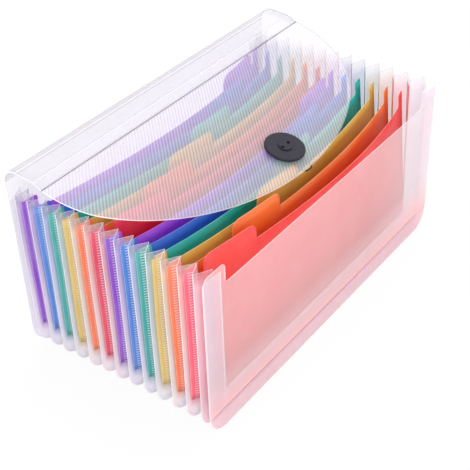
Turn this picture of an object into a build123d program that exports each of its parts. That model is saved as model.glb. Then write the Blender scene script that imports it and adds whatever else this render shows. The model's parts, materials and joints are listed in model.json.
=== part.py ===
from build123d import *
import math
import os

# Expanding file folder, millimetres. The front faces -Y, the width runs along X and +Z is up.
# The origin is at the middle of the footprint, on the surface that the folder stands on.
# Covers, flap and creased spine are stiff polypropylene sheet; the bellows and dividers are thinner film.

# Covers
cover_width = 260.0
cover_thickness = 0.8
front_panel_height = 104.0
ear_rise = 13.5
ear_width = 19.0
ear_outer_radius = 5.0
ear_inner_radius = 2.5
ear_notch_radius = 2.5
weld_frame_width = 15.0
weld_frame_thickness = 0.4
weld_frame_top_drop = 4.0

# Pockets and bellows
pocket_count = 13
pocket_pitch = 11.0
pleat_depth = 10.0
crest_share = 0.59
fold_width = 0.6
fold_inset = 0.3
valley_corner_radius = 4.0
corner_steps = 6
gusset_rise = 0.8
film_clearance = 0.3

# Dividers
divider_thickness = 0.4
divider_drop = 4.0
divider_ear_width = 8.0
divider_ear_rise = 9.0
divider_ear_bevel = 1.2
divider_ear_fillet = 5.0
fillet_room_share = 0.8
tab_rise = 11.2
tab_width = 42.5
tab_end_gap = 4.5
tab_radius = 6.0
tab_positions = 6
divider_lean = 8.5
divider_bow = 13.0
divider_trim = 2.0
divider_columns = 8
divider_rows = 4

# Coloured hems of the dividers, welded to the inside of the bellows
hem_start_share = 0.1
hem_end_share = 0.74
hem_width = 0.5
hem_gap = 0.1
hem_top_drop = 8.5
hem_foot_rise = 5.0

# Creased spine and flap
back_rise = 9.0
spine_bend_radius = 10.0
spine_slope = 5.0
spine_flat_length = 13.6
crease_gap = 0.5
front_spine_length = 7.6
front_spine_slope = 27.0
flap_reach = 94.8
flap_tip_clearance = 0.0
flap_sagitta = 2.1

# Button and elastic loop
button_diameter = 26.0
button_thickness = 2.2
button_edge_bevel = 0.6
boss_edge_bevel = 0.25
button_neck_diameter = 9.0
button_neck_height = 1.4
button_boss_diameter = 9.0
button_boss_height = 0.9
button_hole_diameter = 2.2
button_hole_spacing = 6.0
button_from_tip = 19.0
button_seat_gap = 0.05
cord_diameter = 1.0
cord_sides = 8
cord_gap = 0.45
cord_loop_width = 9.0
cord_tip_overhang = 1.5
cord_bend_share = 0.45

# Heights and depths that follow from the driving dimensions
inner_depth = pocket_count * pocket_pitch
front_face_y = -inner_depth / 2
back_face_y = inner_depth / 2
half_width = cover_width / 2
ear_top = front_panel_height + ear_rise
gusset_top = ear_top + gusset_rise
cover_corner_radius = fold_inset + pleat_depth + valley_corner_radius
valley_x = half_width - fold_inset - pleat_depth
valley_z = fold_inset + pleat_depth
divider_half_width = valley_x - film_clearance
divider_bottom = valley_z + film_clearance
divider_top = front_panel_height - divider_drop
tab_top = divider_top + tab_rise
divider_ear_top = divider_top + divider_ear_rise
back_crease_z = ear_top + back_rise


def upright(sketch, y, thickness):
    """Stands a sketch drawn in X and Z on the plane at y, with its thickness towards +Y."""
    plane = Plane(origin=(0, y, 0), x_dir=(1, 0, 0), z_dir=(0, -1, 0))
    return extrude(plane * sketch, amount=-thickness)


def strip(lines, width):
    """Extrudes a closed outline in Y and Z evenly to both sides of the middle."""
    return extrude(Plane.YZ * make_face(lines), amount=width / 2, both=True)


def block(x_low, x_high, z_low, z_high):
    """A rectangle in X and Z between the given limits."""
    centre = Pos((x_low + x_high) / 2, (z_low + z_high) / 2)
    return centre * Rectangle(x_high - x_low, z_high - z_low)


def vertices_at(sketch, x, z):
    """The corners of a sketch that lie at one height, at x and at its mirror image."""
    near = 1e-4
    return [v for v in sketch.vertices() if abs(abs(v.X) - x) < near and abs(v.Y - z) < near]


def cover_blank(height):
    """A cover's outline: square above, with the two lower corners round the bellows' outer fold."""
    sheet = block(-half_width, half_width, 0, height)
    return fillet(vertices_at(sheet, half_width, 0), cover_corner_radius)


def front_cover_outline():
    sheet = block(-half_width, half_width, 0, front_panel_height)
    ear_foot = half_width - ear_width
    for side in (-1, 1):
        low, high = sorted((side * ear_foot, side * half_width))
        sheet += block(low, high, 0, ear_top)
    sheet = fillet(vertices_at(sheet, half_width, 0), cover_corner_radius)
    sheet = fillet(vertices_at(sheet, half_width, ear_top), ear_outer_radius)
    sheet = fillet(vertices_at(sheet, ear_foot, ear_top), ear_inner_radius)
    return fillet(vertices_at(sheet, ear_foot, front_panel_height), ear_notch_radius)


def weld_frame_outline(height):
    """The bellows' end flange: a U that follows the cover's edge, open at the top."""
    inner = half_width - weld_frame_width
    opening = block(-inner, inner, weld_frame_width, height + weld_frame_width)
    return cover_blank(height) - opening


def divider_outline(position):
    """A divider with an ear at each end and its index tab at one of the staggered positions."""
    sheet = block(-divider_half_width, divider_half_width, divider_bottom, divider_top)
    ear_foot = divider_half_width - divider_ear_width
    for side in (-1, 1):
        low, high = sorted((side * ear_foot, side * divider_half_width))
        sheet += block(low, high, divider_bottom, divider_ear_top)
    tab_span = 2 * (ear_foot - tab_end_gap)
    tab_step = (tab_span - tab_width) / (tab_positions - 1)
    tab_left = -tab_span / 2 + position * tab_step
    sheet += block(tab_left, tab_left + tab_width, divider_bottom, tab_top)
    sheet = fillet(vertices_at(sheet, divider_half_width, divider_bottom), valley_corner_radius)
    sheet = chamfer(vertices_at(sheet, divider_half_width, divider_ear_top), divider_ear_bevel)
    sheet = chamfer(vertices_at(sheet, ear_foot, divider_ear_top), divider_ear_bevel)
    for edge in (tab_left, tab_left + tab_width):
        top = [v for v in vertices_at(sheet, abs(edge), tab_top) if v.X * edge > 0]
        sheet = fillet(top, tab_radius)
    for side, edge in ((-1, tab_left), (1, tab_left + tab_width)):
        room = ear_foot - side * edge
        foot = [v for v in vertices_at(sheet, ear_foot, divider_top) if v.X * side > 0]
        sheet = fillet(foot, min(divider_ear_fillet, fillet_room_share * room))
    return sheet


def bowed_sheet(plane_y):
    """A sheet of flat facets: straight along its lower edge, with the ends leaning back and the middle bowed."""
    half_span = divider_half_width + divider_trim
    foot = divider_bottom - divider_trim
    rise = divider_ear_top + divider_trim - foot

    def corner(column, row, layer):
        x = half_span * (2 * column / divider_columns - 1)
        z = foot + rise * row / divider_rows
        height_share = (z - divider_bottom) / (divider_ear_top - divider_bottom)
        width_share = 1 - (x / divider_half_width) ** 2
        y = plane_y + height_share * (divider_lean - divider_bow * width_share)
        return (x, y + layer * divider_thickness, z)

    outlines = []
    for i in range(divider_columns):
        for j in range(divider_rows):
            for layer in (0, 1):
                cell = [corner(i + x, j + z, layer) for x, z in ((0, 0), (1, 0), (1, 1), (0, 1))]
                if i >= divider_columns / 2:
                    cell = cell[1:] + cell[:1]
                outlines += [cell[:3], cell[2:] + cell[:1]]
    for i in range(divider_columns):
        for j in (0, divider_rows):
            outlines.append([corner(i + x, j, layer) for x, layer in ((0, 0), (1, 0), (1, 1), (0, 1))])
    for j in range(divider_rows):
        for i in (0, divider_columns):
            outlines.append([corner(i, j + z, layer) for z, layer in ((0, 0), (1, 0), (1, 1), (0, 1))])
    return Solid(Shell([Face(Wire.make_polygon(outline)) for outline in outlines]))


def make_divider(number):
    """A divider, counted from the back."""
    plane_y = back_face_y - number * pocket_pitch - divider_thickness / 2
    position = tab_positions - 1 - (number - 1) % tab_positions
    room = divider_bow + divider_lean + pocket_pitch
    return bowed_sheet(plane_y) & upright(divider_outline(position), plane_y - room, 2 * room)


def pleat_line():
    """The folded film's middle line on the left side seen from above, from the front to the back."""
    end_gap = weld_frame_thickness + film_clearance
    valley = -valley_x - fold_width / 2
    crest = -half_width + fold_inset + fold_width / 2
    points = [(valley, front_face_y + end_gap)]
    for pocket in range(pocket_count):
        front_valley = front_face_y + pocket * pocket_pitch
        points.append((crest, front_valley + crest_share * pocket_pitch))
        points.append((valley, front_valley + pocket_pitch))
    points[-1] = (valley, back_face_y - end_gap)
    return points


def make_bellows():
    """The folded film, carried down the left side, round the two lower corners and up the right side."""
    left_corner = []
    for step in range(corner_steps + 1):
        turn = math.radians(90) * step / corner_steps
        x = valley_x - valley_corner_radius * (1 - math.cos(turn))
        z = valley_z + valley_corner_radius * (1 - math.sin(turn))
        left_corner.append((-x, 0, z))
    right_corner = [(-x, y, z) for x, y, z in reversed(left_corner)]
    path = Polyline((-valley_x, 0, gusset_top), *left_corner, *right_corner, (valley_x, 0, gusset_top))
    outside = [(x - fold_width / 2, y) for x, y in pleat_line()]
    inside = [(x + fold_width / 2, y) for x, y in reversed(pleat_line())]
    section = Pos(0, 0, gusset_top) * make_face(Polyline(*outside, *inside, close=True))
    return sweep(section, path=path, transition=Transition.RIGHT)


def make_hem(valley_y):
    """A divider's coloured hem: strips on the inside of the bellows at the left, the right and the bottom."""
    fold_depth = pleat_depth - fold_width
    outline = []
    for share, layer in ((hem_start_share, 0), (hem_end_share, 0), (hem_end_share, 1), (hem_start_share, 1)):
        outward = share * fold_depth - hem_gap - layer * hem_width
        outline.append((outward, valley_y + share * crest_share * pocket_pitch))
    left = make_face(Polyline(*[(-valley_x - out, y) for out, y in outline], close=True))
    foot = cover_corner_radius + hem_foot_rise
    height = gusset_top - hem_top_drop - foot
    left_strip = extrude(Pos(0, 0, foot) * left, amount=height, dir=(0, 0, 1))
    under = make_face(Polyline(*[(y, valley_z - out) for out, y in outline], close=True))
    bottom_strip = extrude(Plane.YZ * under, amount=valley_x - valley_corner_radius, both=True)
    return Compound([left_strip, mirror(left_strip, about=Plane.YZ), bottom_strip])


# Profile of the spine and flap in Y and Z, from the back cover's crease to the tip of the flap
bend_centre = (back_face_y + cover_thickness - spine_bend_radius, back_crease_z)
slope = math.radians(spine_slope)
spine_direction = (-math.cos(slope), -math.sin(slope))
spine_normal = (-math.sin(slope), math.cos(slope))
bend_end = tuple(bend_centre[i] + spine_bend_radius * spine_normal[i] for i in (0, 1))
middle_crease = tuple(bend_end[i] + spine_flat_length * spine_direction[i] for i in (0, 1))
front_slope = math.radians(front_spine_slope)
front_direction = (-math.cos(front_slope), -math.sin(front_slope))
flap_crease = tuple(middle_crease[i] + front_spine_length * front_direction[i] for i in (0, 1))
flap_tip = (flap_crease[0] - flap_reach, tab_top + flap_tip_clearance + cover_thickness)

# The flap bends down in one even curve, whose circle follows from its chord and its sagitta
flap_chord = math.dist(flap_crease, flap_tip)
flap_radius = (flap_chord**2 / 4 + flap_sagitta**2) / (2 * flap_sagitta)
flap_drop = math.atan2(flap_crease[1] - flap_tip[1], flap_crease[0] - flap_tip[0])
chord_middle = tuple((flap_crease[i] + flap_tip[i]) / 2 for i in (0, 1))
to_centre = flap_radius - flap_sagitta
flap_centre = (
    chord_middle[0] + to_centre * math.sin(flap_drop),
    chord_middle[1] - to_centre * math.cos(flap_drop),
)
flap_start_angle = math.atan2(flap_crease[1] - flap_centre[1], flap_crease[0] - flap_centre[0])
flap_end_angle = math.atan2(flap_tip[1] - flap_centre[1], flap_tip[0] - flap_centre[0])


def make_rear_spine():
    """The rounded bend over the back cover and the flat strip in front of it, up to the middle crease."""
    inner_radius = spine_bend_radius - cover_thickness
    gap_angle = math.degrees(crease_gap / spine_bend_radius)
    outer = CenterArc(bend_centre, spine_bend_radius, gap_angle, 90 + spine_slope - gap_angle)
    inner = CenterArc(bend_centre, inner_radius, gap_angle, 90 + spine_slope - gap_angle)
    run = spine_flat_length - crease_gap / 2
    step = Vector(*spine_direction) * run
    outer_run = Line(outer @ 1, outer @ 1 + step)
    inner_run = Line(inner @ 1, inner @ 1 + step)
    ends = [Line(outer @ 0, inner @ 0), Line(outer_run @ 1, inner_run @ 1)]
    return strip([outer, inner, outer_run, inner_run, *ends], cover_width)


def make_front_spine():
    """The narrow strip between the middle crease and the flap's crease."""
    normal = (-math.sin(front_slope), math.cos(front_slope))
    corners = []
    for along, depth in ((0, 0), (1, 0), (1, 1), (0, 1)):
        run = crease_gap / 2 + along * (front_spine_length - crease_gap)
        drop = depth * cover_thickness
        corners.append(tuple(middle_crease[i] + run * front_direction[i] - drop * normal[i] for i in (0, 1)))
    return strip([Polyline(*corners, close=True)], cover_width)


def flap_point(angle, radius):
    """A point of the flap's curve in Y and Z."""
    return (flap_centre[0] + radius * math.cos(angle), flap_centre[1] + radius * math.sin(angle))


button_angle = flap_end_angle - button_from_tip / flap_radius
button_place = flap_point(button_angle, flap_radius)
button_plane = Plane(
    origin=(0, *button_place),
    x_dir=(1, 0, 0),
    z_dir=(0, math.cos(button_angle), math.sin(button_angle)),
)


def cord_holes(length):
    """Two holes through the button and the flap for the elastic cord."""
    drill = Cylinder(button_hole_diameter / 2, length)
    return [button_plane * Pos(side * button_hole_spacing / 2, 0) * drill for side in (-1, 1)]


def make_flap():
    """The curved flap with its half-elliptical free edge."""
    start = flap_start_angle + crease_gap / 2 / flap_radius
    middle = (start + flap_end_angle) / 2
    inner_radius = flap_radius - cover_thickness
    arcs = []
    for radius in (flap_radius, inner_radius):
        arcs.append(ThreePointArc(*[flap_point(a, radius) for a in (start, middle, flap_end_angle)]))
    ends = [Line(arcs[0] @ 0, arcs[1] @ 0), Line(arcs[0] @ 1, arcs[1] @ 1)]
    sheet = strip([*arcs, *ends], cover_width)
    crease_y, crease_z = flap_crease
    outline = Pos(0, crease_y) * Ellipse(half_width, flap_reach)
    sheet &= extrude(outline, amount=crease_z + spine_bend_radius)
    return sheet - cord_holes(4 * button_neck_height)


def make_button():
    """A shank button: rounded disc, raised ring in the middle with two cord holes, and a neck under it."""
    base = button_neck_height + button_seat_gap
    disc = Pos(0, 0, base + button_thickness / 2) * Cylinder(button_diameter / 2, button_thickness)
    rims = disc.edges().filter_by(GeomType.CIRCLE)
    disc = chamfer(rims, button_edge_bevel)
    neck_middle = button_seat_gap + button_neck_height / 2
    neck = Pos(0, 0, neck_middle) * Cylinder(button_neck_diameter / 2, button_neck_height)
    boss_middle = base + button_thickness + button_boss_height / 2
    boss = Pos(0, 0, boss_middle) * Cylinder(button_boss_diameter / 2, button_boss_height)
    top = boss.edges().sort_by(Axis.Z)[-1]
    boss = chamfer(top, boss_edge_bevel)
    return button_plane * (disc + neck + boss) - cord_holes(8 * (base + button_thickness))


def make_elastic_loop():
    """Elastic cord held in the button's two holes, with its bight at the tip of the flap."""
    hole = button_hole_spacing / 2
    under = -(cover_thickness + cord_gap + cord_diameter / 2)
    top = button_neck_height
    bight = button_from_tip + cord_tip_overhang - cord_diameter / 2
    half_loop = cord_loop_width / 2
    way_out = [(-hole, 0, top), (-hole, 0, under), (-half_loop, -bight, under)]
    way_back = [(-x, y, z) for x, y, z in reversed(way_out)]
    points = [button_plane.from_local_coords(Vector(*point)) for point in way_out + way_back]
    radii = []
    for before, here, after in zip(points, points[1:], points[2:]):
        turn = (here - before).get_angle(after - here)
        shorter = min((here - before).length, (after - here).length)
        radii.append(cord_bend_share * shorter / math.tan(math.radians(turn) / 2))
    print("elastic cord radii", [round(radius, 2) for radius in radii])
    route = FilletPolyline(*points, radius=radii)
    print("elastic cord length", round(route.length, 2))
    section = Plane(origin=route @ 0, z_dir=route % 0) * RegularPolygon(cord_diameter / 2, cord_sides)
    return sweep(section, path=route)


def save(shape, name):
    export_step(shape, f"parts/{name}.step")


os.makedirs("parts", exist_ok=True)
back_outline = cover_blank(back_crease_z)
save(upright(back_outline, back_face_y, cover_thickness), "back_cover")
rear_frame = weld_frame_outline(ear_top - weld_frame_top_drop)
save(upright(rear_frame, back_face_y - weld_frame_thickness, weld_frame_thickness), "rear_weld_frame")
save(upright(front_cover_outline(), front_face_y - cover_thickness, cover_thickness), "front_cover")
save(upright(rear_frame, front_face_y, weld_frame_thickness), "front_weld_frame")
save(make_bellows(), "bellows")
for number in range(1, pocket_count):
    save(make_divider(number), f"divider_{number:02d}")
    save(make_hem(back_face_y - number * pocket_pitch), f"divider_hem_{number:02d}")
save(make_rear_spine(), "rear_spine")
save(make_front_spine(), "front_spine")
save(make_flap(), "flap")
save(make_button(), "flap_button")
save(make_elastic_loop(), "elastic_loop")
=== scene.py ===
import json
import math

import bpy
import numpy as np
from mathutils import Matrix, Vector


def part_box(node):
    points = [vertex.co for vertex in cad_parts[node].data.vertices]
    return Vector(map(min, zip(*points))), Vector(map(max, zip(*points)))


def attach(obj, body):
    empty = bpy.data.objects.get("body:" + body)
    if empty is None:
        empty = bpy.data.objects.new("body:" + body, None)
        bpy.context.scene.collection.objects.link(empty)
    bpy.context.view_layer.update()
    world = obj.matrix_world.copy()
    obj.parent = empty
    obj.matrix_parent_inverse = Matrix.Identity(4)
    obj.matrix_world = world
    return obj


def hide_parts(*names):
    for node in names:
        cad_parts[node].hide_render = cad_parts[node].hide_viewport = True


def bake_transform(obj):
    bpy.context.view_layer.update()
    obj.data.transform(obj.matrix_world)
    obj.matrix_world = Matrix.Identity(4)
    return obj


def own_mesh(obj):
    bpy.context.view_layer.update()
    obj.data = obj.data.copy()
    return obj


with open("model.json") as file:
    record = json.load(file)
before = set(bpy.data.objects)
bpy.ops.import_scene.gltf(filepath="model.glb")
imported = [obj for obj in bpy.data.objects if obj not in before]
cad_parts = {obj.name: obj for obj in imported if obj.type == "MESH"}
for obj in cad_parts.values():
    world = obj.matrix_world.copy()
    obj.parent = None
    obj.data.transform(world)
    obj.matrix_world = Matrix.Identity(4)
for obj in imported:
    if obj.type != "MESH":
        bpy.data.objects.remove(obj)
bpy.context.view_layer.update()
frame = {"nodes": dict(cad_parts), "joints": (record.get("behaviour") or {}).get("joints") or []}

# Sizes in metres; the outer ones come from the boxes of the part's nodes
MM = 0.001
HALF_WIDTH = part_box("front_cover")[1].x
FRONT_OUT, FRONT_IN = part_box("front_cover")[0].y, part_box("front_cover")[1].y
BACK_IN, BACK_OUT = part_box("back_cover")[0].y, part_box("back_cover")[1].y
EAR_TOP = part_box("front_cover")[1].z
BACK_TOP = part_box("back_cover")[1].z
FRAME_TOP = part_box("front_weld_frame")[1].z
CREST_X, GUSSET_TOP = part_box("bellows")[1].x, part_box("bellows")[1].z
DIVIDER_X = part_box("divider_01")[1].x
DIVIDER_BOTTOM, TAB_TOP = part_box("divider_01")[0].z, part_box("divider_01")[1].z
HEM_RISE = 3.2 * MM
HEM_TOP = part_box("divider_hem_01")[1].z + HEM_RISE
SHEET = BACK_OUT - BACK_IN
FILM, DIVIDER_FILM, HEM_FILM = 0.35 * MM, 0.4 * MM, 0.25 * MM
PANEL_TOP = 104 * MM
EAR_WIDTH = 19 * MM
FRAME_WIDTH = 15 * MM
CORNER = 14.3 * MM
POCKETS = 13
PITCH = (BACK_IN - FRONT_IN) / POCKETS
PLEAT = 10 * MM
CREST_SHARE = 0.59
VALLEY_CORNER = 4 * MM
VALLEY_X = CREST_X - PLEAT
VALLEY_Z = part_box("bellows")[0].z + PLEAT
VALLEY_LOW = VALLEY_Z + VALLEY_CORNER
HEM_FOOT = VALLEY_LOW + 5 * MM
HEM_START, HEM_END = 0.1, 0.74
HEM_STEPS = 16
DIVIDER_TOP, DIVIDER_EAR_TOP = 100 * MM, 109 * MM
TAB_WIDTH, TAB_END_GAP = 42.5 * MM, 4.5 * MM
TAB_PLACES = 6
DIVIDER_LEAN, DIVIDER_BOW, DIVIDER_SWAY = 8.5 * MM, 13 * MM, 2 * MM
RAINBOW = ["purple", "blue", "teal", "yellow", "orange", "red"]
COLOURS = RAINBOW + RAINBOW[:-1] + ["coral"]

# Materials of a sheet in the order of its slots
FACE, EDGE, REVERSE = 0, 1, 2
SCORE = 3
WELD, FOLD = 3, 4


def arc(centre, radius, start, end, steps=8):
    """Points of an arc in a plane, angles in degrees."""
    turn = np.radians(np.linspace(start, end, steps + 1))
    return [(centre[0] + radius * math.cos(a), centre[1] + radius * math.sin(a)) for a in turn]


def add_mesh(name, verts, faces, materials, face_materials=None, smooth=True):
    """A new mesh piece with its materials, smooth or flat."""
    mesh = bpy.data.meshes.new(name)
    mesh.from_pydata([tuple(v) for v in verts], [], [tuple(f) for f in faces])
    for material in materials:
        mesh.materials.append(material)
    if face_materials is not None:
        mesh.polygons.foreach_set("material_index", np.asarray(face_materials, np.int32))
    mesh.polygons.foreach_set("use_smooth", np.full(len(mesh.polygons), smooth))
    mesh.validate()
    mesh.update()
    obj = bpy.data.objects.new(name, mesh)
    bpy.context.scene.collection.objects.link(obj)
    return obj


def solid_sheet(name, grid, thickness, materials, zones=None, hinged=()):
    """A thin solid on both sides of a grid of points: the materials of its face, its cut edges and its back.

    Its map holds the share across the columns and the distance along the rows. Zones, where given,
    hold the material of each cell of the face. A first (0) or last (-1) row that is hinged has a clear end.
    """
    grid = np.asarray(grid, float)
    rows, cols = grid.shape[:2]
    across = np.gradient(grid, axis=1)
    along = np.gradient(grid, axis=0)
    normal = np.cross(along, across)
    normal /= np.linalg.norm(normal, axis=2, keepdims=True) + 1e-15
    half = normal * thickness / 2
    verts = np.concatenate([(grid + half).reshape(-1, 3), (grid - half).reshape(-1, 3)])
    index = np.arange(rows * cols).reshape(rows, cols)
    a, b, c, d = index[:-1, :-1], index[1:, :-1], index[1:, 1:], index[:-1, 1:]
    front = np.stack([a, b, c, d], -1).reshape(-1, 4)
    back = front[:, ::-1] + rows * cols
    loop = np.concatenate([index[0, :-1], index[:-1, -1], index[-1, :0:-1], index[:0:-1, 0]])
    following = np.roll(loop, -1)
    rim = np.stack([loop, following, following + rows * cols, loop + rows * cols], -1)
    faces = np.concatenate([front, back, rim])
    rim_start = len(front) + len(back)
    cells = np.full((rows - 1, cols - 1), FACE) if zones is None else zones
    first, last = (REVERSE if row in hinged else EDGE for row in (0, -1))
    sides = [EDGE] * (rows - 1)
    ends = [first] * (cols - 1) + sides + [last] * (cols - 1) + sides
    kinds = np.concatenate([cells.ravel(), np.full(len(back), REVERSE), ends])
    obj = add_mesh(name, verts, faces, materials, kinds)
    for polygon in obj.data.polygons[rim_start:]:
        polygon.use_smooth = False
    steps = np.linalg.norm(np.diff(grid[:, 0], axis=0), axis=1)
    distance = np.concatenate([[0], np.cumsum(steps)])
    shares = np.linspace(0, 1, cols)
    places = np.stack(np.meshgrid(distance, shares, indexing="ij"), -1).reshape(-1, 2)[:, ::-1]
    places = np.concatenate([places, places])
    run = obj.data.uv_layers.new(name=RUN_LAYER)
    corners = np.array([corner.vertex_index for corner in obj.data.loops])
    run.data.foreach_set("uv", places[corners].ravel())
    return obj


def plate(name, outline, y_low, y_high, materials):
    """A flat plate with an outline in X and Z: the materials of its front, its cut edges and its back."""
    count = len(outline)
    verts = [(x, y_low, z) for x, z in outline] + [(x, y_high, z) for x, z in outline]
    faces = [tuple(range(count)), tuple(range(2 * count - 1, count - 1, -1))]
    faces += [((i + 1) % count, i, i + count, (i + 1) % count + count) for i in range(count)]
    kinds = [FACE, REVERSE] + [EDGE] * count
    return add_mesh(name, verts, faces, materials, kinds, smooth=False)


def own(obj, body, slot, *nodes):
    """Gives a piece its body and hides the nodes that it stands for; the slot is not used."""
    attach(obj, body)
    if nodes:
        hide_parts(*nodes)
    return obj


# Materials

# The second layer holds the film's painted coloured glow.
RUN_LAYER, PAINTED_GLOW_LAYER = "Run", "painted_glow"
NOISE_LOW, NOISE_HIGH = 0.3, 0.7
CLOUD_SCALE, CLOUD_DEPTH = 90.0, 0.008
SATIN_SCALE, SATIN_LOW, SATIN_HIGH = 700.0, 0.32, 0.5
SHADE_SCALE = 45.0
# Scale of a wave texture whose waves are one metre long
WAVE_TURN = 2 * math.pi / 20
RIDGE_TURN = 45.0
RIDGE_PITCH = 1.95 * MM
RIDGE_BUMP, RIDGE_HEIGHT = 0.03, 0.3 * MM
TOOTH_PITCH = 1.85 * MM
TOOTH_PLACE, TOOTH_REACH, TOOTH_STRENGTH = 0.4, 0.25, 0.42
WELD_SHARE, OUTER_PALE = 0.94, 0.85
SPECK_SCALE, SPECK_CORE, SPECK_RIM = 330.0, 0.05, 0.16
FROST_WHITE = (0.955, 0.93, 0.98)
EDGE_WHITE = (0.98, 0.98, 0.99)
CLEAR_TINT = (0.99, 0.985, 1)
THROUGH_POWER = 0.25
RIM_KEEP, RIM_LIFT = 0.85, 0.1


def new_material(name):
    """A material with an empty tree."""
    material = bpy.data.materials.new(name)
    material.use_nodes = True
    material.node_tree.nodes.clear()
    return material, material.node_tree


def node(tree, kind, **values):
    """A node with its sockets or settings filled in."""
    made = tree.nodes.new(kind)
    for key, value in values.items():
        if key in made.inputs:
            made.inputs[key].default_value = value
        else:
            setattr(made, key, value)
    return made


def ranged(tree, value, from_low, from_high, low, high):
    """A value spread from one range to another."""
    ends = {"From Min": from_low, "From Max": from_high, "To Min": low, "To Max": high}
    mapped = node(tree, "ShaderNodeMapRange", **ends)
    tree.links.new(value, mapped.inputs["Value"])
    return mapped.outputs["Result"]


def maths(tree, operation, first, second):
    """One sum of two values, each a socket or a number."""
    made = node(tree, "ShaderNodeMath", operation=operation)
    for socket, value in zip(made.inputs, (first, second)):
        if isinstance(value, (int, float)):
            socket.default_value = value
        else:
            tree.links.new(value, socket)
    return made.outputs[0]


def on_object(tree):
    """The place on the object, in its own frame."""
    return node(tree, "ShaderNodeTexCoord").outputs["Object"]


def axes(tree, vector):
    """The X, Y and Z of a vector."""
    split = node(tree, "ShaderNodeSeparateXYZ")
    tree.links.new(vector, split.inputs[0])
    return split.outputs


def tint(tree, low, high, share):
    """A colour between two, each a socket or a colour, by a share."""
    made = node(tree, "ShaderNodeMix", data_type="RGBA")
    for key, colour in (("A", low), ("B", high)):
        if isinstance(colour, bpy.types.NodeSocket):
            tree.links.new(colour, made.inputs[key])
        else:
            made.inputs[key].default_value = (*colour, 1)
    tree.links.new(share, made.inputs["Factor"])
    return made.outputs["Result"]


def grain(tree, scale, low, high):
    """A fine uneven value between low and high, fixed to the object."""
    noise = node(tree, "ShaderNodeTexNoise", Scale=scale, Detail=3.0)
    tree.links.new(on_object(tree), noise.inputs["Vector"])
    return ranged(tree, noise.outputs["Fac"], NOISE_LOW, NOISE_HIGH, low, high)


def ridges(tree):
    """The flap's fine ribs, which run aslant across it, as a wave from 0 to 1."""
    turn = node(tree, "ShaderNodeMapping", Rotation=(0, 0, math.radians(RIDGE_TURN)))
    wave = node(tree, "ShaderNodeTexWave", Scale=WAVE_TURN / RIDGE_PITCH, Distortion=0.0)
    wave.wave_type = "BANDS"
    wave.bands_direction = "X"
    tree.links.new(on_object(tree), turn.inputs["Vector"])
    tree.links.new(turn.outputs[0], wave.inputs["Vector"])
    return wave.outputs["Fac"]


def frosted(
    name, haze, colour=FROST_WHITE, glow_share=0.15, ribbed=0.0, glow_painted=False, fades=(), specks=0.0, painted_low_glow=None
):
    """Frosted clear sheet: part of the light scatters white at its face, and the rest passes through.

    A sheet with a glow layer takes a painted coloured glow from it, the light of coloured parts seen through the
    sheet. A fade adds haze along an axis from one place to another, specks are small white spots of the weld, and a
    low glow tints the sheet below a height with a painted coloured glow.
    """
    material, tree = new_material(name)
    links = tree.links
    white = node(tree, "ShaderNodeBsdfPrincipled", Roughness=0.4)
    white.inputs["Base Color"].default_value = (*colour, 1)
    glow = node(tree, "ShaderNodeBsdfTranslucent", Color=(*colour, 1))
    scatter = node(tree, "ShaderNodeMixShader", Fac=glow_share)
    clear = node(tree, "ShaderNodeBsdfTransparent", Color=(*CLEAR_TINT, 1))
    mix = node(tree, "ShaderNodeMixShader")
    out = node(tree, "ShaderNodeOutputMaterial")
    links.new(white.outputs[0], scatter.inputs[1])
    links.new(glow.outputs[0], scatter.inputs[2])
    links.new(clear.outputs[0], mix.inputs[1])
    links.new(scatter.outputs[0], mix.inputs[2])
    amount = grain(tree, CLOUD_SCALE, haze - CLOUD_DEPTH, haze + CLOUD_DEPTH)
    links.new(grain(tree, SATIN_SCALE, SATIN_LOW, SATIN_HIGH), white.inputs["Roughness"])
    paint = None
    if ribbed:
        wave = ridges(tree)
        amount = maths(tree, "ADD", amount, ranged(tree, wave, 0.0, 1.0, -ribbed, ribbed))
        bump = node(tree, "ShaderNodeBump", Strength=RIDGE_BUMP, Distance=RIDGE_HEIGHT)
        links.new(wave, bump.inputs["Height"])
        links.new(bump.outputs[0], white.inputs["Normal"])
    # Painted coloured glow: the colour layer tints the sheet towards the colours seen through it.
    if glow_painted:
        layer = node(tree, "ShaderNodeAttribute", attribute_name=PAINTED_GLOW_LAYER)
        paint = tint(tree, colour, layer.outputs["Color"], layer.outputs["Alpha"])
    for axis, low, high, at_low, at_high in fades:
        along = axes(tree, on_object(tree))[axis]
        added = ranged(tree, along, low, high, at_low, at_high)
        beyond = maths(tree, "GREATER_THAN", along, low)
        amount = maths(tree, "ADD", amount, maths(tree, "MULTIPLY", added, beyond))
    # painted coloured light: below a height the colour turns to the glow colour
    if painted_low_glow:
        colour_low, low, high = painted_low_glow
        height = axes(tree, on_object(tree))["Z"]
        paint = tint(tree, colour, colour_low, ranged(tree, height, low, high, 1.0, 0.0))
    if paint is not None:
        links.new(paint, white.inputs["Base Color"])
        links.new(paint, glow.inputs["Color"])
    if specks:
        cells = node(tree, "ShaderNodeTexVoronoi", Scale=SPECK_SCALE)
        links.new(on_object(tree), cells.inputs["Vector"])
        spots = ranged(tree, cells.outputs["Distance"], SPECK_CORE, SPECK_RIM, specks, 0.0)
        amount = maths(tree, "ADD", amount, spots)
    links.new(amount, mix.inputs[0])
    links.new(mix.outputs[0], out.inputs[0])
    return material


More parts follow.
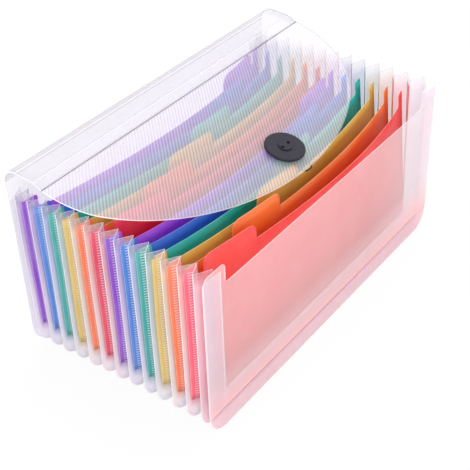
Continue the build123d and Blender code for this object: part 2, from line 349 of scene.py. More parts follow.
def tinted(name, colour, glow_share=0.1, clear=0.0, roughness=0.32, sheen=0.5, uneven=0.06, teeth=False):
    """Translucent coloured film with a soft sheen; a hem has a row of fine weld teeth and a paler outer edge."""
    material, tree = new_material(name)
    links = tree.links
    face = node(tree, "ShaderNodeBsdfPrincipled", Roughness=roughness)
    face.inputs["Specular IOR Level"].default_value = sheen
    back = node(tree, "ShaderNodeBsdfTranslucent")
    lighter = [(1 - uneven) * c + uneven for c in colour]
    paint = tint(tree, colour, lighter, grain(tree, SHADE_SCALE, 0.0, 1.0))
    if teeth:
        run = axes(tree, node(tree, "ShaderNodeUVMap", uv_map=RUN_LAYER).outputs[0])
        phase = maths(tree, "FRACT", maths(tree, "DIVIDE", run["Y"], TOOTH_PITCH), 0.0)
        tooth = maths(tree, "LESS_THAN", phase, 0.5)
        band = maths(tree, "COMPARE", run["X"], TOOTH_PLACE)
        band.node.inputs[2].default_value = TOOTH_REACH
        marks = maths(tree, "MULTIPLY", maths(tree, "MULTIPLY", tooth, band), TOOTH_STRENGTH)
        outer = ranged(tree, run["X"], WELD_SHARE, 1.0, 0.0, OUTER_PALE)
        paint = tint(tree, paint, (1, 1, 1), maths(tree, "MAXIMUM", marks, outer))
    links.new(paint, face.inputs["Base Color"])
    links.new(paint, back.inputs["Color"])
    mix = node(tree, "ShaderNodeMixShader", Fac=glow_share)
    out = node(tree, "ShaderNodeOutputMaterial")
    links.new(face.outputs[0], mix.inputs[1])
    links.new(back.outputs[0], mix.inputs[2])
    surface = mix.outputs[0]
    if clear:
        veil = node(tree, "ShaderNodeMixShader", Fac=clear)
        through = node(tree, "ShaderNodeBsdfTransparent", Color=(*[c**THROUGH_POWER for c in colour], 1))
        links.new(surface, veil.inputs[1])
        links.new(through.outputs[0], veil.inputs[2])
        surface = veil.outputs[0]
    links.new(surface, out.inputs[0])
    return material


def linear(red, green, blue):
    """A display colour from 0 to 255 as scene-linear values."""
    def one(value):
        share = value / 255
        return share / 12.92 if share <= 0.04045 else ((share + 0.055) / 1.055) ** 2.4
    return one(red), one(green), one(blue)


FILM_COLOURS = {
    "purple": linear(190, 82, 245),
    "blue": linear(58, 122, 240),
    "teal": linear(25, 200, 192),
    "yellow": linear(240, 200, 88),
    "orange": linear(255, 130, 48),
    "red": linear(255, 48, 76),
    "coral": linear(255, 70, 64),
}
HEM_COLOURS = {
    "purple": linear(140, 50, 200),
    "blue": linear(48, 126, 214),
    "teal": linear(10, 168, 160),
    "yellow": linear(220, 190, 95),
    "orange": linear(252, 120, 60),
    "red": linear(228, 30, 80),
    "coral": linear(252, 90, 115),
}
# Painted light on the front panel: the lower fade adds white haze in a band above the lower frame, a painted
# lighter band that stands in for light coming in from below and lifts the shade between the panel and the coral
# divider. The side fade adds white haze towards the right end, painted light that stands in for the sheet's heavier
# veil over the divider standing farther behind there. The blush is a painted pink glow of the coral divider,
# carried down below the divider's lower edge.
PANEL_PAINTED_LIGHT_TOP = 3 * FRAME_WIDTH
PANEL_SIDE_PAINTED_HAZE = 45 * MM, 112 * MM
frost_panel = frosted(
    "frost_panel", 0.37, colour=(0.975, 0.92, 0.95),
    fades=[("Z", FRAME_WIDTH, PANEL_PAINTED_LIGHT_TOP, 0.42, 0), ("X", *PANEL_SIDE_PAINTED_HAZE, 0, 0.14)],
    painted_low_glow=((1.0, 0.58, 0.6), FRAME_WIDTH, PANEL_PAINTED_LIGHT_TOP),
)
frost_back = frosted("frost_back", 0.34)
# The spine's sheet is a greyer copy of the frosted sheet: painted shade that keeps the upward spine, which the key
# lamp lights most, as pale as the rest.
shaded_frost_spine = frosted("shaded_frost_spine", 0.52, colour=(0.83, 0.81, 0.85))
frost_flap = frosted("frost_flap", 0.39, glow_share=0.2, ribbed=0.1)
# The fade at the film's foot adds white haze there: painted light in place of light thrown up from the floor.
FILM_CLEARS = HEM_TOP - 4 * MM, HEM_TOP + 3 * MM
FILM_FOOT_PAINTED_LIGHT = -1 * MM, 28 * MM
# The film's glow layer is painted coloured light from the hems behind it.
frost_film = frosted(
    "frost_film", 0.62, colour=(0.98, 0.925, 0.99), glow_share=0.22, glow_painted=True,
    fades=[("Z", *FILM_CLEARS, 0, -0.38), ("Z", *FILM_FOOT_PAINTED_LIGHT, 0.22, 0)],
)
frost_weld = frosted("frost_weld", 0.04)
frost_fold = frosted("frost_fold", 0.66)
frost_flange = frosted("frost_flange", 0.5, glow_share=0.4, specks=0.3)
# The front flange's pink is painted light: the coral divider's glow through the frosted sheet.
pink_glow_flange = frosted("pink_glow_flange", 0.6, colour=(1.0, 0.7, 0.81), glow_share=0.35, specks=0.35)
smooth_side = frosted("smooth_side", 0.03)
# The flap crease's web is near black: a painted shadow in the score groove.
painted_crease_shadow = frosted("painted_crease_shadow", 0.9, colour=(0.2, 0.19, 0.22))
cut_edge = frosted("cut_edge", 0.9, colour=EDGE_WHITE)
film_edge = frosted("film_edge", 0.5, colour=EDGE_WHITE)
film_materials = {name: tinted("film_" + name, colour, clear=0.2) for name, colour in FILM_COLOURS.items()}
hem_materials = {name: tinted("hem_" + name, colour, teeth=True) for name, colour in HEM_COLOURS.items()}
edge_materials = {
    name: tinted("edge_" + name, [RIM_KEEP * c + RIM_LIFT for c in colour]) for name, colour in FILM_COLOURS.items()
}
button_material = tinted(
    "button_charcoal", linear(38, 36, 48), glow_share=0.0, roughness=0.5, sheen=0.2, uneven=0.005
)
cord_material = tinted("cord_black", (0.012, 0.012, 0.014), glow_share=0.0, roughness=0.7, uneven=0.01)


# Covers and weld frames

WELD_BEAD = 0.9 * MM
EAR_OUTER_ROUND, EAR_INNER_ROUND = 5 * MM, 2.5 * MM
FLANGE_GAP, FLANGE_DEPTH = 0.05 * MM, 0.4 * MM


def cover_bottom():
    """Lower edge of a cover from the right to the left, with its round corners."""
    right = arc((HALF_WIDTH - CORNER, CORNER), CORNER, 0, -90)
    left = arc((-HALF_WIDTH + CORNER, CORNER), CORNER, -90, -180)
    return right + left


def front_outline():
    """The front cover with an ear at each end of its upper edge."""
    left_ear = -HALF_WIDTH + EAR_WIDTH
    outer, inner = EAR_OUTER_ROUND, EAR_INNER_ROUND
    top = arc((-HALF_WIDTH + outer, EAR_TOP - outer), outer, 180, 90)
    top += arc((left_ear - inner, EAR_TOP - inner), inner, 90, 0)
    top += arc((left_ear + inner, PANEL_TOP + inner), inner, 180, 270)
    top += [(-x, z) for x, z in reversed(top)]
    return top + cover_bottom()


def back_outline():
    """The back cover, straight along its upper edge."""
    return [(-HALF_WIDTH, BACK_TOP), (HALF_WIDTH, BACK_TOP)] + cover_bottom()


def frame_opening(width, top):
    """The U of a weld frame's inner edge, down the left side and up the right one."""
    inner = HALF_WIDTH - width
    return [(-inner, top), (-inner, width), (inner, width), (inner, top)]


def frame_outline():
    """A weld frame: the U between the cover's outline and its own opening."""
    top = [(-HALF_WIDTH, FRAME_TOP), *frame_opening(FRAME_WIDTH, FRAME_TOP), (HALF_WIDTH, FRAME_TOP)]
    return top + cover_bottom()


def weld_outline():
    """A narrow weld bead just inside the weld frame's inner edge."""
    return frame_opening(FRAME_WIDTH, FRAME_TOP) + frame_opening(FRAME_WIDTH + WELD_BEAD, FRAME_TOP)[::-1]


front_set = [frost_panel, film_edge, smooth_side]
front_cover = plate("front_cover_sheet", front_outline(), FRONT_OUT, FRONT_IN, front_set)
own(front_cover, "front", "frosted_sheet", "front_cover")
back_set = [smooth_side, cut_edge, frost_back]
back_cover = plate("back_cover_sheet", back_outline(), BACK_IN, BACK_OUT, back_set)
own(back_cover, "back", "frosted_sheet", "back_cover")
# The front flange takes the painted pink glow.
for end, body, low, high, frost in (
    ("front", "front", FRONT_IN + FLANGE_GAP, FRONT_IN + FLANGE_DEPTH, pink_glow_flange),
    ("rear", "back", BACK_IN - FLANGE_DEPTH, BACK_IN - FLANGE_GAP, frost_flange),
):
    flange = plate(end + "_weld_flange", frame_outline(), low, high, [frost, cut_edge, smooth_side])
    own(flange, body, "frosted_sheet", end + "_weld_frame")
    bead = plate(end + "_weld_bead", weld_outline(), low, high, [cut_edge] * 3)
    own(bead, body, "frosted_sheet")


# Spine and flap: one creased sheet, seen from the side as a line in Y and Z

BEND = 10 * MM
BEND_CENTRE = (BACK_OUT - BEND, BACK_TOP)
SPINE_SLOPE = 5.0
CREASE_GAP = 0.5 * MM
crease_places = {joint["name"]: joint["pos_m"] for joint in frame["joints"] if joint["type"] == "hinge"}
MIDDLE_CREASE = np.array(crease_places["middle_crease"][1:])
FLAP_CREASE = np.array(crease_places["flap_crease"][1:])
FLAP_TIP = np.array([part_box("flap")[0].y, TAB_TOP + SHEET])
FLAP_REACH = FLAP_CREASE[0] - FLAP_TIP[0]
FLAP_SAGITTA = 2.1 * MM
FLAP_DROOP, DROOP_RATE = 3.0 * MM, 3
FLAP_SIDE = 4 * MM
FLAP_ROWS, FLAP_COLUMNS = 61, 121


def spread(profile, width, columns=24):
    """A profile in Y and Z as a grid across the width."""
    xs = np.linspace(-width, width, columns)
    return np.array([[(x, y, z) for x in xs] for y, z in profile])


def below(points, depth):
    """A profile moved to the middle of the sheet's thickness, below its upper face."""
    points = np.asarray(points, float)
    along = np.gradient(points, axis=0)
    along /= np.linalg.norm(along, axis=1, keepdims=True)
    normal = np.stack([along[:, 1], -along[:, 0]], 1)
    return points - normal * depth


def flap_height(distance, x):
    """Height of the flap's upper face at a distance in front of its crease."""
    share = distance / FLAP_REACH
    fall = (FLAP_CREASE[1] - FLAP_TIP[1]) * share
    bulge = 4 * FLAP_SAGITTA * share * (1 - share)
    droop = FLAP_DROOP * (x / HALF_WIDTH) ** 2 * np.clip(share * DROOP_RATE, 0, 1)
    return FLAP_CREASE[1] - fall + bulge - droop


def flap_grid():
    """The flap from its crease to its half-elliptical edge."""
    angles = np.radians(np.linspace(-90, 90, FLAP_COLUMNS))
    rows = np.linspace(0, 1, FLAP_ROWS)
    grid = np.zeros((len(rows), len(angles), 3))
    for i, angle in enumerate(angles):
        x = HALF_WIDTH * math.sin(angle)
        extent = FLAP_SIDE + (FLAP_REACH - FLAP_SIDE) * math.cos(angle)
        distance = CREASE_GAP / 2 + rows * (extent - CREASE_GAP / 2)
        grid[:, i, 0] = x
        grid[:, i, 1] = FLAP_CREASE[0] - distance
        grid[:, i, 2] = flap_height(distance, x) - SHEET / 2
    return grid


def direction(start, end):
    """The unit vector from one point towards another."""
    way = np.subtract(end, start)
    return way / np.linalg.norm(way)


def spine_strip(name, profile, scored_row):
    """A strip of the spine with one row pressed to a white score line."""
    points = spread(profile, HALF_WIDTH)
    zones = np.full((len(points) - 1, len(points[0]) - 1), FACE)
    zones[scored_row] = SCORE
    spine_set = [shaded_frost_spine, cut_edge, smooth_side, cut_edge]
    return solid_sheet(name, points, SHEET, spine_set, zones, hinged=(0, -1))


gap_angle = math.degrees(CREASE_GAP / BEND)
bend_points = arc(BEND_CENTRE, BEND, gap_angle, 90 + SPINE_SLOPE, 20)
rear_way = direction(bend_points[-1], MIDDLE_CREASE)
flat_start, flat_end = bend_points[-1] + rear_way * CREASE_GAP, MIDDLE_CREASE - rear_way * CREASE_GAP / 2
rear_profile = below(bend_points + [tuple(p) for p in np.linspace(flat_start, flat_end, 6)], SHEET / 2)
rear_spine = spine_strip("rear_spine_sheet", rear_profile, len(bend_points) - 1)
own(rear_spine, "rear_spine", "frosted_sheet", "rear_spine")

front_way = direction(MIDDLE_CREASE, FLAP_CREASE)
front_start, front_end = MIDDLE_CREASE + front_way * CREASE_GAP / 2, FLAP_CREASE - front_way * CREASE_GAP / 2
front_line = [front_start, *np.linspace(front_start + front_way * CREASE_GAP, front_end, 5)]
front_profile = below(front_line, SHEET / 2)
front_spine = spine_strip("front_spine_sheet", front_profile, 0)
own(front_spine, "front_spine", "frosted_sheet", "front_spine")

flap_points = flap_grid()
flap = solid_sheet("flap_sheet", flap_points, SHEET, [frost_flap, cut_edge, smooth_side], hinged=(0,))
own(flap, "flap", "frosted_sheet", "flap")


# Living hinges: a thin web of the same sheet bridges each crease

def living_hinge(name, start, end, material, share):
    """A web with a share of the sheet's thickness, from one panel's edge to the next one's, both in Y and Z."""
    profile = np.linspace(start, end, 5)
    web_set = [material, material, smooth_side]
    web = solid_sheet(name, spread(profile, HALF_WIDTH), share * SHEET, web_set, hinged=(0, -1))
    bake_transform(web)


back_edge = np.array([(BACK_IN + BACK_OUT) / 2, BACK_TOP])
flap_edge = flap_points[0, FLAP_COLUMNS // 2, 1:]
THIN_WEB, FULL_WEB = 0.45, 1.0
living_hinge("back_crease_web", back_edge, rear_profile[0], cut_edge, THIN_WEB)
living_hinge(
    "middle_crease_web", rear_profile[-1], front_profile[0], shaded_frost_spine, FULL_WEB
)
# The flap crease's web carries the painted shadow of its groove.
living_hinge("flap_crease_web", front_profile[-1], flap_edge, painted_crease_shadow, FULL_WEB)


# Bellows: a folded section carried down the left side, under the pockets and up the right side

END_GAP = 0.8 * MM
FOLD_ROUND, FOLD_WHITE = 0.4 * MM, 0.45
FOLD_LEAN, FOLD_REACH, FOLD_WAVE, FOLD_SAG = 0.5 * MM, 0.35 * MM, 0.3 * MM, 4.2 * MM
# Painted coloured glow on the bellows film, in place of the hems' light seen through it: where it runs across the
# panel, where it fades in and out in height, and its strength at the weld, at the crest, at the rear and at the
# front.
GLOW_SHARES = (0.77, 0.85, 0.92)
GLOW_LOW, GLOW_HIGH = 40 * MM, 95 * MM
GLOW_OVER, GLOW_OVER_SOFT = 3 * MM, 4 * MM
GLOW_UNDER, GLOW_UNDER_SOFT = 6 * MM, 8 * MM
WELD_GLOW, CREST_GLOW, CREST_GLOW_RISE, REAR_GLOW = 0.85, 0.1, 0.38, 0.4
FRONT_GLOW, FRONT_GLOW_FADE = 0.3, 0.26


def clamped(value):
    """A share kept from 0 to 1."""
    return min(max(value, 0), 1)


def rounded(points, radius, steps=4):
    """A line of points with each inner corner replaced by a small curve."""
    points = [np.array(p, float) for p in points]
    line = [points[0]]
    for before, here, after in zip(points, points[1:], points[2:]):
        back, ahead = before - here, after - here
        back, ahead = back / np.linalg.norm(back), ahead / np.linalg.norm(ahead)
        start, end = here + back * radius, here + ahead * radius
        for t in np.linspace(0, 1, steps + 1):
            line.append((1 - t) ** 2 * start + 2 * t * (1 - t) * here + t**2 * end)
    line.append(points[-1])
    return np.array(line)


def fold_corners():
    """Corners of the fold as distance outward from the valley and place along Y, front to back."""
    corners = [(0, FRONT_IN + END_GAP)]
    for pocket in range(POCKETS):
        front = FRONT_IN + pocket * PITCH
        corners.append((PLEAT - FILM / 2, front + CREST_SHARE * PITCH))
        corners.append((FILM / 2, front + PITCH))
    corners[-1] = (FILM / 2, BACK_IN - END_GAP)
    return corners


def path_stations():
    """Points of the valley's path with their outward directions in X and Z."""
    heights = np.concatenate([
        np.linspace(GUSSET_TOP, HEM_TOP, 4)[:-1],
        np.linspace(HEM_TOP, HEM_FOOT, HEM_STEPS)[:-1],
        np.linspace(HEM_FOOT, VALLEY_LOW, 3),
    ])
    stations = [((-VALLEY_X, z), (-1, 0)) for z in heights]
    centre = (-VALLEY_X + VALLEY_CORNER, VALLEY_LOW)
    for angle in np.radians(np.linspace(180, 270, 12))[1:]:
        outward = (math.cos(angle), math.sin(angle))
        stations.append(((centre[0] + VALLEY_CORNER * outward[0], centre[1] + VALLEY_CORNER * outward[1]), outward))
    for x in np.linspace(centre[0], 0, 10)[1:]:
        stations.append(((x, VALLEY_Z), (0, -1)))
    mirrored = [((-p[0], p[1]), (-o[0], o[1])) for p, o in reversed(stations[:-1])]
    return stations + mirrored


def film_place(out, y, station):
    """Where a point of the folded film lies.

    The folds lean and reach a little unevenly, the panels wave, and the right side sags back between its ends.
    """
    (x, z), (ox, oz) = station
    share = out / PLEAT
    pocket = min(max(int((y - FRONT_IN) / PITCH), 0), POCKETS - 1)
    height = z / GUSSET_TOP
    lean = FOLD_LEAN * math.sin(2.4 * pocket + 1) * share * math.sin(2.6 * height + 0.5 * pocket)
    wave = FOLD_WAVE * math.sin(math.pi * share) * math.sin(7 * height + 1.3 * pocket)
    reach = out + FOLD_REACH * share * math.sin(1.7 * pocket) * math.sin(3.5 * height + pocket)
    depth = clamped((y - FRONT_IN) / (BACK_IN - FRONT_IN))
    sag = FOLD_SAG * max(x, 0) / VALLEY_X * math.sin(math.pi * depth**0.6) * height
    return (x + reach * ox, y + lean + wave + sag, z + reach * oz)


def weld_end():
    """Where a hem's weld ends, as a share of its panel from the valley to the crest."""
    return HEM_START + WELD_SHARE * (HEM_END - HEM_START)


def hem_edges():
    """The edges of each hem's weld and of its painted glow on the fold, as distance outward and place along Y."""
    edges = []
    for number in range(1, POCKETS):
        valley = BACK_IN - number * PITCH
        for share in (HEM_START, weld_end(), *GLOW_SHARES):
            edges.append((FILM / 2 + share * (PLEAT - FILM), valley + share * CREST_SHARE * PITCH))
    return edges


def film_zone(y, station):
    """The film's finish at a cell: clear where a hem is welded on, whitened along the folds, else plain."""
    (_, z), outward = station
    pocket, part = divmod((y - FRONT_IN) / PITCH, 1)
    if min(part, abs(part - CREST_SHARE), 1 - part) < FOLD_WHITE * FOLD_ROUND / PITCH:
        return FOLD
    level = outward == (0, -1) or HEM_FOOT < z < HEM_TOP
    return WELD if pocket > 0 and HEM_START < part / CREST_SHARE < weld_end() and level else FACE


def painted_film_glow(y, station):
    """Painted coloured glow on the film, in place of the hems' light that shows through it: its own hem's beside
    the weld, the hem behind it at the crest.
    """
    (x, z), _ = station
    place = (y - FRONT_IN) / PITCH
    pocket, share = int(place), place % 1 / CREST_SHARE
    if pocket < 1:
        return (*HEM_COLOURS[COLOURS[-1]], FRONT_GLOW - FRONT_GLOW_FADE * max(x, 0) / VALLEY_X)
    hem = max(POCKETS - 1 - pocket, 0)
    near, behind = (np.array(HEM_COLOURS[COLOURS[number]]) for number in (hem, max(hem - 1, 0)))
    past = clamped((share - weld_end()) / (GLOW_SHARES[1] - weld_end()))
    over, under = (HEM_TOP + GLOW_OVER - z) / GLOW_OVER_SOFT, (z - HEM_FOOT + GLOW_UNDER) / GLOW_UNDER_SOFT
    level = clamped(min(over, under))
    depth = clamped((z - GLOW_LOW) / (GLOW_HIGH - GLOW_LOW))
    strength = WELD_GLOW * level * (1 - past) + (CREST_GLOW + CREST_GLOW_RISE * depth) * past
    return (*(near * (1 - past) + behind * past), strength if share < 1 else REAR_GLOW * strength)


fold_line = sorted([tuple(p) for p in rounded(fold_corners(), FOLD_ROUND)] + hem_edges(), key=lambda p: -p[1])
film_path = path_stations()
bellows_points = np.array([[film_place(out, y, station) for out, y in fold_line] for station in film_path])
cell_places = [(a[1] + b[1]) / 2 for a, b in zip(fold_line, fold_line[1:])]
cell_stations = [((a[0][0], (a[0][1] + b[0][1]) / 2), b[1]) for a, b in zip(film_path, film_path[1:])]
film_zones = np.array([[film_zone(y, station) for y in cell_places] for station in cell_stations])
bellows_set = [frost_film, film_edge, smooth_side, frost_weld, frost_fold]
bellows = solid_sheet("bellows_film", bellows_points, FILM, bellows_set, film_zones)
# Each point of the film gets a painted glow: a hem's colour and its strength.
painted_glow = np.array([[painted_film_glow(y, station) for out, y in fold_line] for station in film_path], float).reshape(-1, 4)
painted_glow_layer = bellows.data.color_attributes.new(PAINTED_GLOW_LAYER, "FLOAT_COLOR", "POINT")
painted_glow_layer.data.foreach_set("color", np.concatenate([painted_glow, painted_glow]).ravel())
own(bellows, "back", "frosted_film", "bellows")
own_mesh(bellows)


# Dividers and their hems

EAR_SPAN, EAR_ROUND, EAR_HOLLOW = 8 * MM, 1.2 * MM, 2.5 * MM
TAB_ROUND, TAB_FOOT_ROUND = 6 * MM, 1.2 * MM
SWAY_TURN, SWAY_PEAK = 0.6, 2.6
DIVIDER_ROWS, DIVIDER_STEP = 15, 5 * MM
HEM_COLUMNS, UNDER_STEPS = 6, 24
HEM_INSET = 0.45 * MM


def steps_between(points, longest):
    """Fills long straight runs of a line with extra points."""
    line = [points[0]]
    for before, here in zip(points, points[1:]):
        count = max(1, math.ceil(math.dist(before, here) / longest))
        for i in range(1, count + 1):
            t = i / count
            line.append((before[0] + (here[0] - before[0]) * t, before[1] + (here[1] - before[1]) * t))
    return line


def divider_top_line(position):
    """Upper edge of a divider from the left to the right: ear, tab and ear."""
    foot = DIVIDER_X - EAR_SPAN
    span = 2 * (foot - TAB_END_GAP)
    left = -span / 2 + position * (span - TAB_WIDTH) / (TAB_PLACES - 1)
    right = left + TAB_WIDTH

    def ear_line(room):
        """The left ear's edge, from its outer corner to the hollow beside the tab."""
        hollow = min(EAR_HOLLOW, 0.75 * room)
        line = arc((-DIVIDER_X + EAR_ROUND, DIVIDER_EAR_TOP - EAR_ROUND), EAR_ROUND, 180, 90, 4)
        line += arc((-foot - EAR_ROUND, DIVIDER_EAR_TOP - EAR_ROUND), EAR_ROUND, 90, 0, 4)
        return line + arc((-foot + hollow, DIVIDER_TOP + hollow), hollow, 180, 270, 6)

    edge = ear_line(left + foot - TAB_FOOT_ROUND)
    for side, x in ((1, left), (-1, right)):
        flank_centre = x - side * TAB_FOOT_ROUND, DIVIDER_TOP + TAB_FOOT_ROUND
        shoulder_centre = x + side * TAB_ROUND, TAB_TOP - TAB_ROUND
        flank = arc(flank_centre, TAB_FOOT_ROUND, 270, 270 + 90 * side, 3)
        shoulder = arc(shoulder_centre, TAB_ROUND, 90 + 90 * side, 90, 8)
        part = flank + shoulder
        edge += part if side == 1 else part[::-1]
    edge += [(-x, z) for x, z in reversed(ear_line(foot - right - TAB_FOOT_ROUND))]
    return steps_between(edge, DIVIDER_STEP)


def divider_grid(number):
    """A divider as columns from its lower to its upper edge: it leans back, bows forward and sways a little."""
    plane = BACK_IN - number * PITCH
    sway = -DIVIDER_SWAY * math.sin(SWAY_TURN * number)
    edge = divider_top_line(TAB_PLACES - 1 - (number - 1) % TAB_PLACES)
    columns = []
    last = -1.0
    for x, top in edge:
        x = max(x, last + 1e-6)
        last = x
        from_end = DIVIDER_X - abs(x)
        bottom = DIVIDER_BOTTOM
        if from_end < VALLEY_CORNER:
            bottom += VALLEY_CORNER - math.sqrt(max(0, VALLEY_CORNER**2 - (VALLEY_CORNER - from_end) ** 2))
        z = np.linspace(bottom, top, DIVIDER_ROWS)
        height = (z - DIVIDER_BOTTOM) / (DIVIDER_EAR_TOP - DIVIDER_BOTTOM)
        across = x / DIVIDER_X
        inner = 1 - across**2
        y = plane + height * (DIVIDER_LEAN - DIVIDER_BOW * inner + SWAY_PEAK * sway * across * inner)
        columns.append(np.stack([np.full_like(z, x), y, z], 1))
    return np.stack(columns, 1)


def hem_point(number, share, station):
    """A point on the inside of the bellows' panel behind a divider's valley."""
    out = FILM / 2 + share * (PLEAT - FILM) - HEM_INSET
    return film_place(out, BACK_IN - number * PITCH + share * CREST_SHARE * PITCH, station)


def hem_runs():
    """Where a hem's three strips run: down the left side, under the pockets and up the right side."""
    left = [((-VALLEY_X, z), (-1, 0)) for z in np.linspace(HEM_TOP, HEM_FOOT, HEM_STEPS)]
    right = [((VALLEY_X, z), (1, 0)) for z in np.linspace(HEM_FOOT, HEM_TOP, HEM_STEPS)]
    reach = VALLEY_X - VALLEY_CORNER
    under = [((x, VALLEY_Z), (0, -1)) for x in np.linspace(-reach, reach, UNDER_STEPS)]
    return {"left": left, "under": under, "right": right}


for number in range(1, POCKETS):
    colour = COLOURS[number - 1]
    slot = "film_" + colour
    divider_set = [film_materials[colour], edge_materials[colour], film_materials[colour]]
    hem_set = [hem_materials[colour], edge_materials[colour], hem_materials[colour]]
    divider = solid_sheet(f"divider_film_{number:02d}", divider_grid(number), DIVIDER_FILM, divider_set)
    own(divider, f"divider_{number:02d}", slot, f"divider_{number:02d}")
    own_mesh(divider)
    for side, run in hem_runs().items():
        shares = np.linspace(HEM_START, HEM_END, HEM_COLUMNS)
        hem_points = [[hem_point(number, share, station) for share in shares] for station in run]
        strip = solid_sheet(f"hem_{number:02d}_{side}", hem_points, HEM_FILM, hem_set)
        own(strip, "back", slot, f"divider_hem_{number:02d}")
        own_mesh(strip)


# Button and elastic loop

BUTTON_FROM_TIP = 19 * MM
RING_PITCH = 2.4 * MM
RING_BUMP, RING_HEIGHT = 0.35, 0.2 * MM
CORD_DIAMETER = 1.0 * MM


def button_frame():
    """The button's seat on the flap in Y and Z: its place, and its directions towards the crease and upward."""
    chord = FLAP_TIP - FLAP_CREASE
    radius = (chord @ chord / 4 + FLAP_SAGITTA**2) / (2 * FLAP_SAGITTA)
    upward = np.array([chord[1], -chord[0]]) / np.linalg.norm(chord)
    centre = (FLAP_TIP + FLAP_CREASE) / 2 - upward * (radius - FLAP_SAGITTA)
    tip_angle = math.atan2(*(FLAP_TIP - centre)[::-1])
    angle = tip_angle - BUTTON_FROM_TIP / radius
    outward = np.array([math.cos(angle), math.sin(angle)])
    return centre + outward * radius, np.array([outward[1], -outward[0]]), outward


def button_rings(material):
    """Faint turned rings round the button's axis."""
    tree = material.node_tree
    seat, _, upward = button_frame()
    tilt = math.atan2(*upward)
    turned = Matrix.Rotation(tilt, 3, "X") @ Vector((0, *seat))
    turn = node(tree, "ShaderNodeMapping", Rotation=(tilt, 0, 0), Location=-turned)
    wave = node(tree, "ShaderNodeTexWave", Scale=WAVE_TURN / RING_PITCH, Distortion=0.0)
    wave.wave_type = "RINGS"
    wave.rings_direction = "Z"
    bump = node(tree, "ShaderNodeBump", Strength=RING_BUMP, Distance=RING_HEIGHT)
    tree.links.new(on_object(tree), turn.inputs["Vector"])
    tree.links.new(turn.outputs[0], wave.inputs["Vector"])
    tree.links.new(wave.outputs["Fac"], bump.inputs["Height"])
    face = next(n for n in tree.nodes if n.type == "BSDF_PRINCIPLED")
    tree.links.new(bump.outputs[0], face.inputs["Normal"])


button = frame["nodes"]["flap_button"]
button.data.materials.clear()
button.data.materials.append(button_material)
button_rings(button_material)


def loop_points():
    """The elastic's route in millimetres from the button's seat: across, towards the crease and up."""
    half = [
        (-3, 0, 1.4), (-3, 0, -0.3), (-3, -0.2, -1.75), (-3.3, -4, -1.75), (-3.9, -12, -1.75), (-4.5, -20, -1.75),
    ]
    seat, back, upward = button_frame()
    points = []
    for x, along, up in half + [(-x, along, up) for x, along, up in reversed(half)]:
        y, z = seat + back * along * MM + upward * up * MM
        points.append((x * MM, y, z))
    return points


curve = bpy.data.curves.new("elastic_cord", "CURVE")
curve.dimensions = "3D"
curve.bevel_depth = CORD_DIAMETER / 2
curve.bevel_resolution = 4
curve.resolution_u = 8
route = loop_points()
spline = curve.splines.new("NURBS")
spline.points.add(len(route) - 1)
for point, stop in zip(spline.points, route):
    point.co = (*stop, 1)
spline.order_u = 3
spline.use_endpoint_u = True
curve.materials.append(cord_material)
cord = bpy.data.objects.new("elastic_cord", curve)
bpy.context.scene.collection.objects.link(cord)
own(cord, "flap", "elastic_cord", "elastic_loop")


# Floor, light and camera

def background_share(tree, share):
    """The share of white that a ray from the camera, a gloss or a clear sheet sees."""
    path = node(tree, "ShaderNodeLightPath")
    seen = maths(tree, "MAXIMUM", path.outputs["Is Camera Ray"], path.outputs["Is Glossy Ray"])
    seen = maths(tree, "MAXIMUM", seen, path.outputs["Is Transmission Ray"])
    return maths(tree, "MULTIPLY", seen, share)


FLOOR_HALF, FLOOR_WHITE_SHARE = 3.0, 0.9
WORLD_LIGHT = 0.85
LAMP_TARGET = Vector((0, 0, 0.08))
floor_corners = [(x * FLOOR_HALF, y * FLOOR_HALF, 0) for x, y in ((-1, -1), (1, -1), (1, 1), (-1, 1))]
floor = add_mesh("floor", floor_corners, [(0, 1, 2, 3)], [])
floor_material, floor_tree = new_material("floor_white")
floor_face = node(floor_tree, "ShaderNodeBsdfDiffuse", Color=(0.93, 0.93, 0.93, 1))
floor_glow = node(floor_tree, "ShaderNodeEmission", Color=(1, 1, 1, 1), Strength=1.0)
floor_mix = node(floor_tree, "ShaderNodeMixShader")
floor_out = node(floor_tree, "ShaderNodeOutputMaterial")
floor_tree.links.new(background_share(floor_tree, FLOOR_WHITE_SHARE), floor_mix.inputs[0])
floor_tree.links.new(floor_face.outputs[0], floor_mix.inputs[1])
floor_tree.links.new(floor_glow.outputs[0], floor_mix.inputs[2])
floor_tree.links.new(floor_mix.outputs[0], floor_out.inputs[0])
floor.data.materials.append(floor_material)

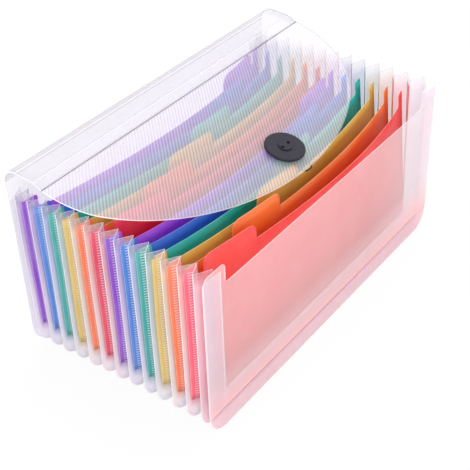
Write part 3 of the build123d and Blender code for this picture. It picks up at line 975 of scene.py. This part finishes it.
world = bpy.data.worlds.new("studio")
bpy.context.scene.world = world
world.use_nodes = True
world_tree = world.node_tree
sky = world_tree.nodes["Background"]
sky.inputs["Color"].default_value = (1, 1, 1, 1)
strength = maths(world_tree, "ADD", background_share(world_tree, 1 - WORLD_LIGHT), WORLD_LIGHT)
world_tree.links.new(strength, sky.inputs["Strength"])


def area_lamp(name, energy, size, location):
    """A square lamp that looks at the middle of the folder."""
    lamp = bpy.data.lights.new(name, "AREA")
    lamp.energy = energy
    lamp.size = size
    holder = bpy.data.objects.new(name, lamp)
    bpy.context.scene.collection.objects.link(holder)
    holder.location = location
    holder.rotation_euler = (LAMP_TARGET - holder.location).to_track_quat("-Z", "Y").to_euler()


area_lamp("key", energy=5.2, size=0.9, location=(0.5, 0.2, 1.1))
area_lamp("fill", energy=11.0, size=1.4, location=(-1.0, -0.75, 0.6))

AZIMUTH, ELEVATION, ROLL = (math.radians(a) for a in (-52.85, 36.5, -2.02))
DISTANCE, SIDE, RISE = 0.69594, -0.00483, -0.01708
FOCAL_PIXELS, FRAME_PIXELS = 1052.68, 470
TARGET = Vector((0, -0.0023, 0.06))
away = Vector((math.sin(AZIMUTH), -math.cos(AZIMUTH), 0))
to_camera = away * math.cos(ELEVATION) + Vector((0, 0, math.sin(ELEVATION)))
level = Vector((math.cos(AZIMUTH), math.sin(AZIMUTH), 0))
upward = to_camera.cross(level)
right = level * math.cos(ROLL) + upward * math.sin(ROLL)
up = upward * math.cos(ROLL) - level * math.sin(ROLL)
lens = bpy.data.cameras.new("camera")
lens.sensor_width = 36.0
lens.lens = FOCAL_PIXELS / FRAME_PIXELS * lens.sensor_width
camera = bpy.data.objects.new("camera", lens)
bpy.context.scene.collection.objects.link(camera)
camera_turn = Matrix((right, up, to_camera)).transposed()
camera_place = TARGET + right * SIDE + up * RISE + to_camera * DISTANCE
camera.matrix_world = Matrix.Translation(camera_place) @ camera_turn.to_4x4()
bpy.context.scene.camera = camera
bpy.context.scene.view_settings.view_transform = "Standard"
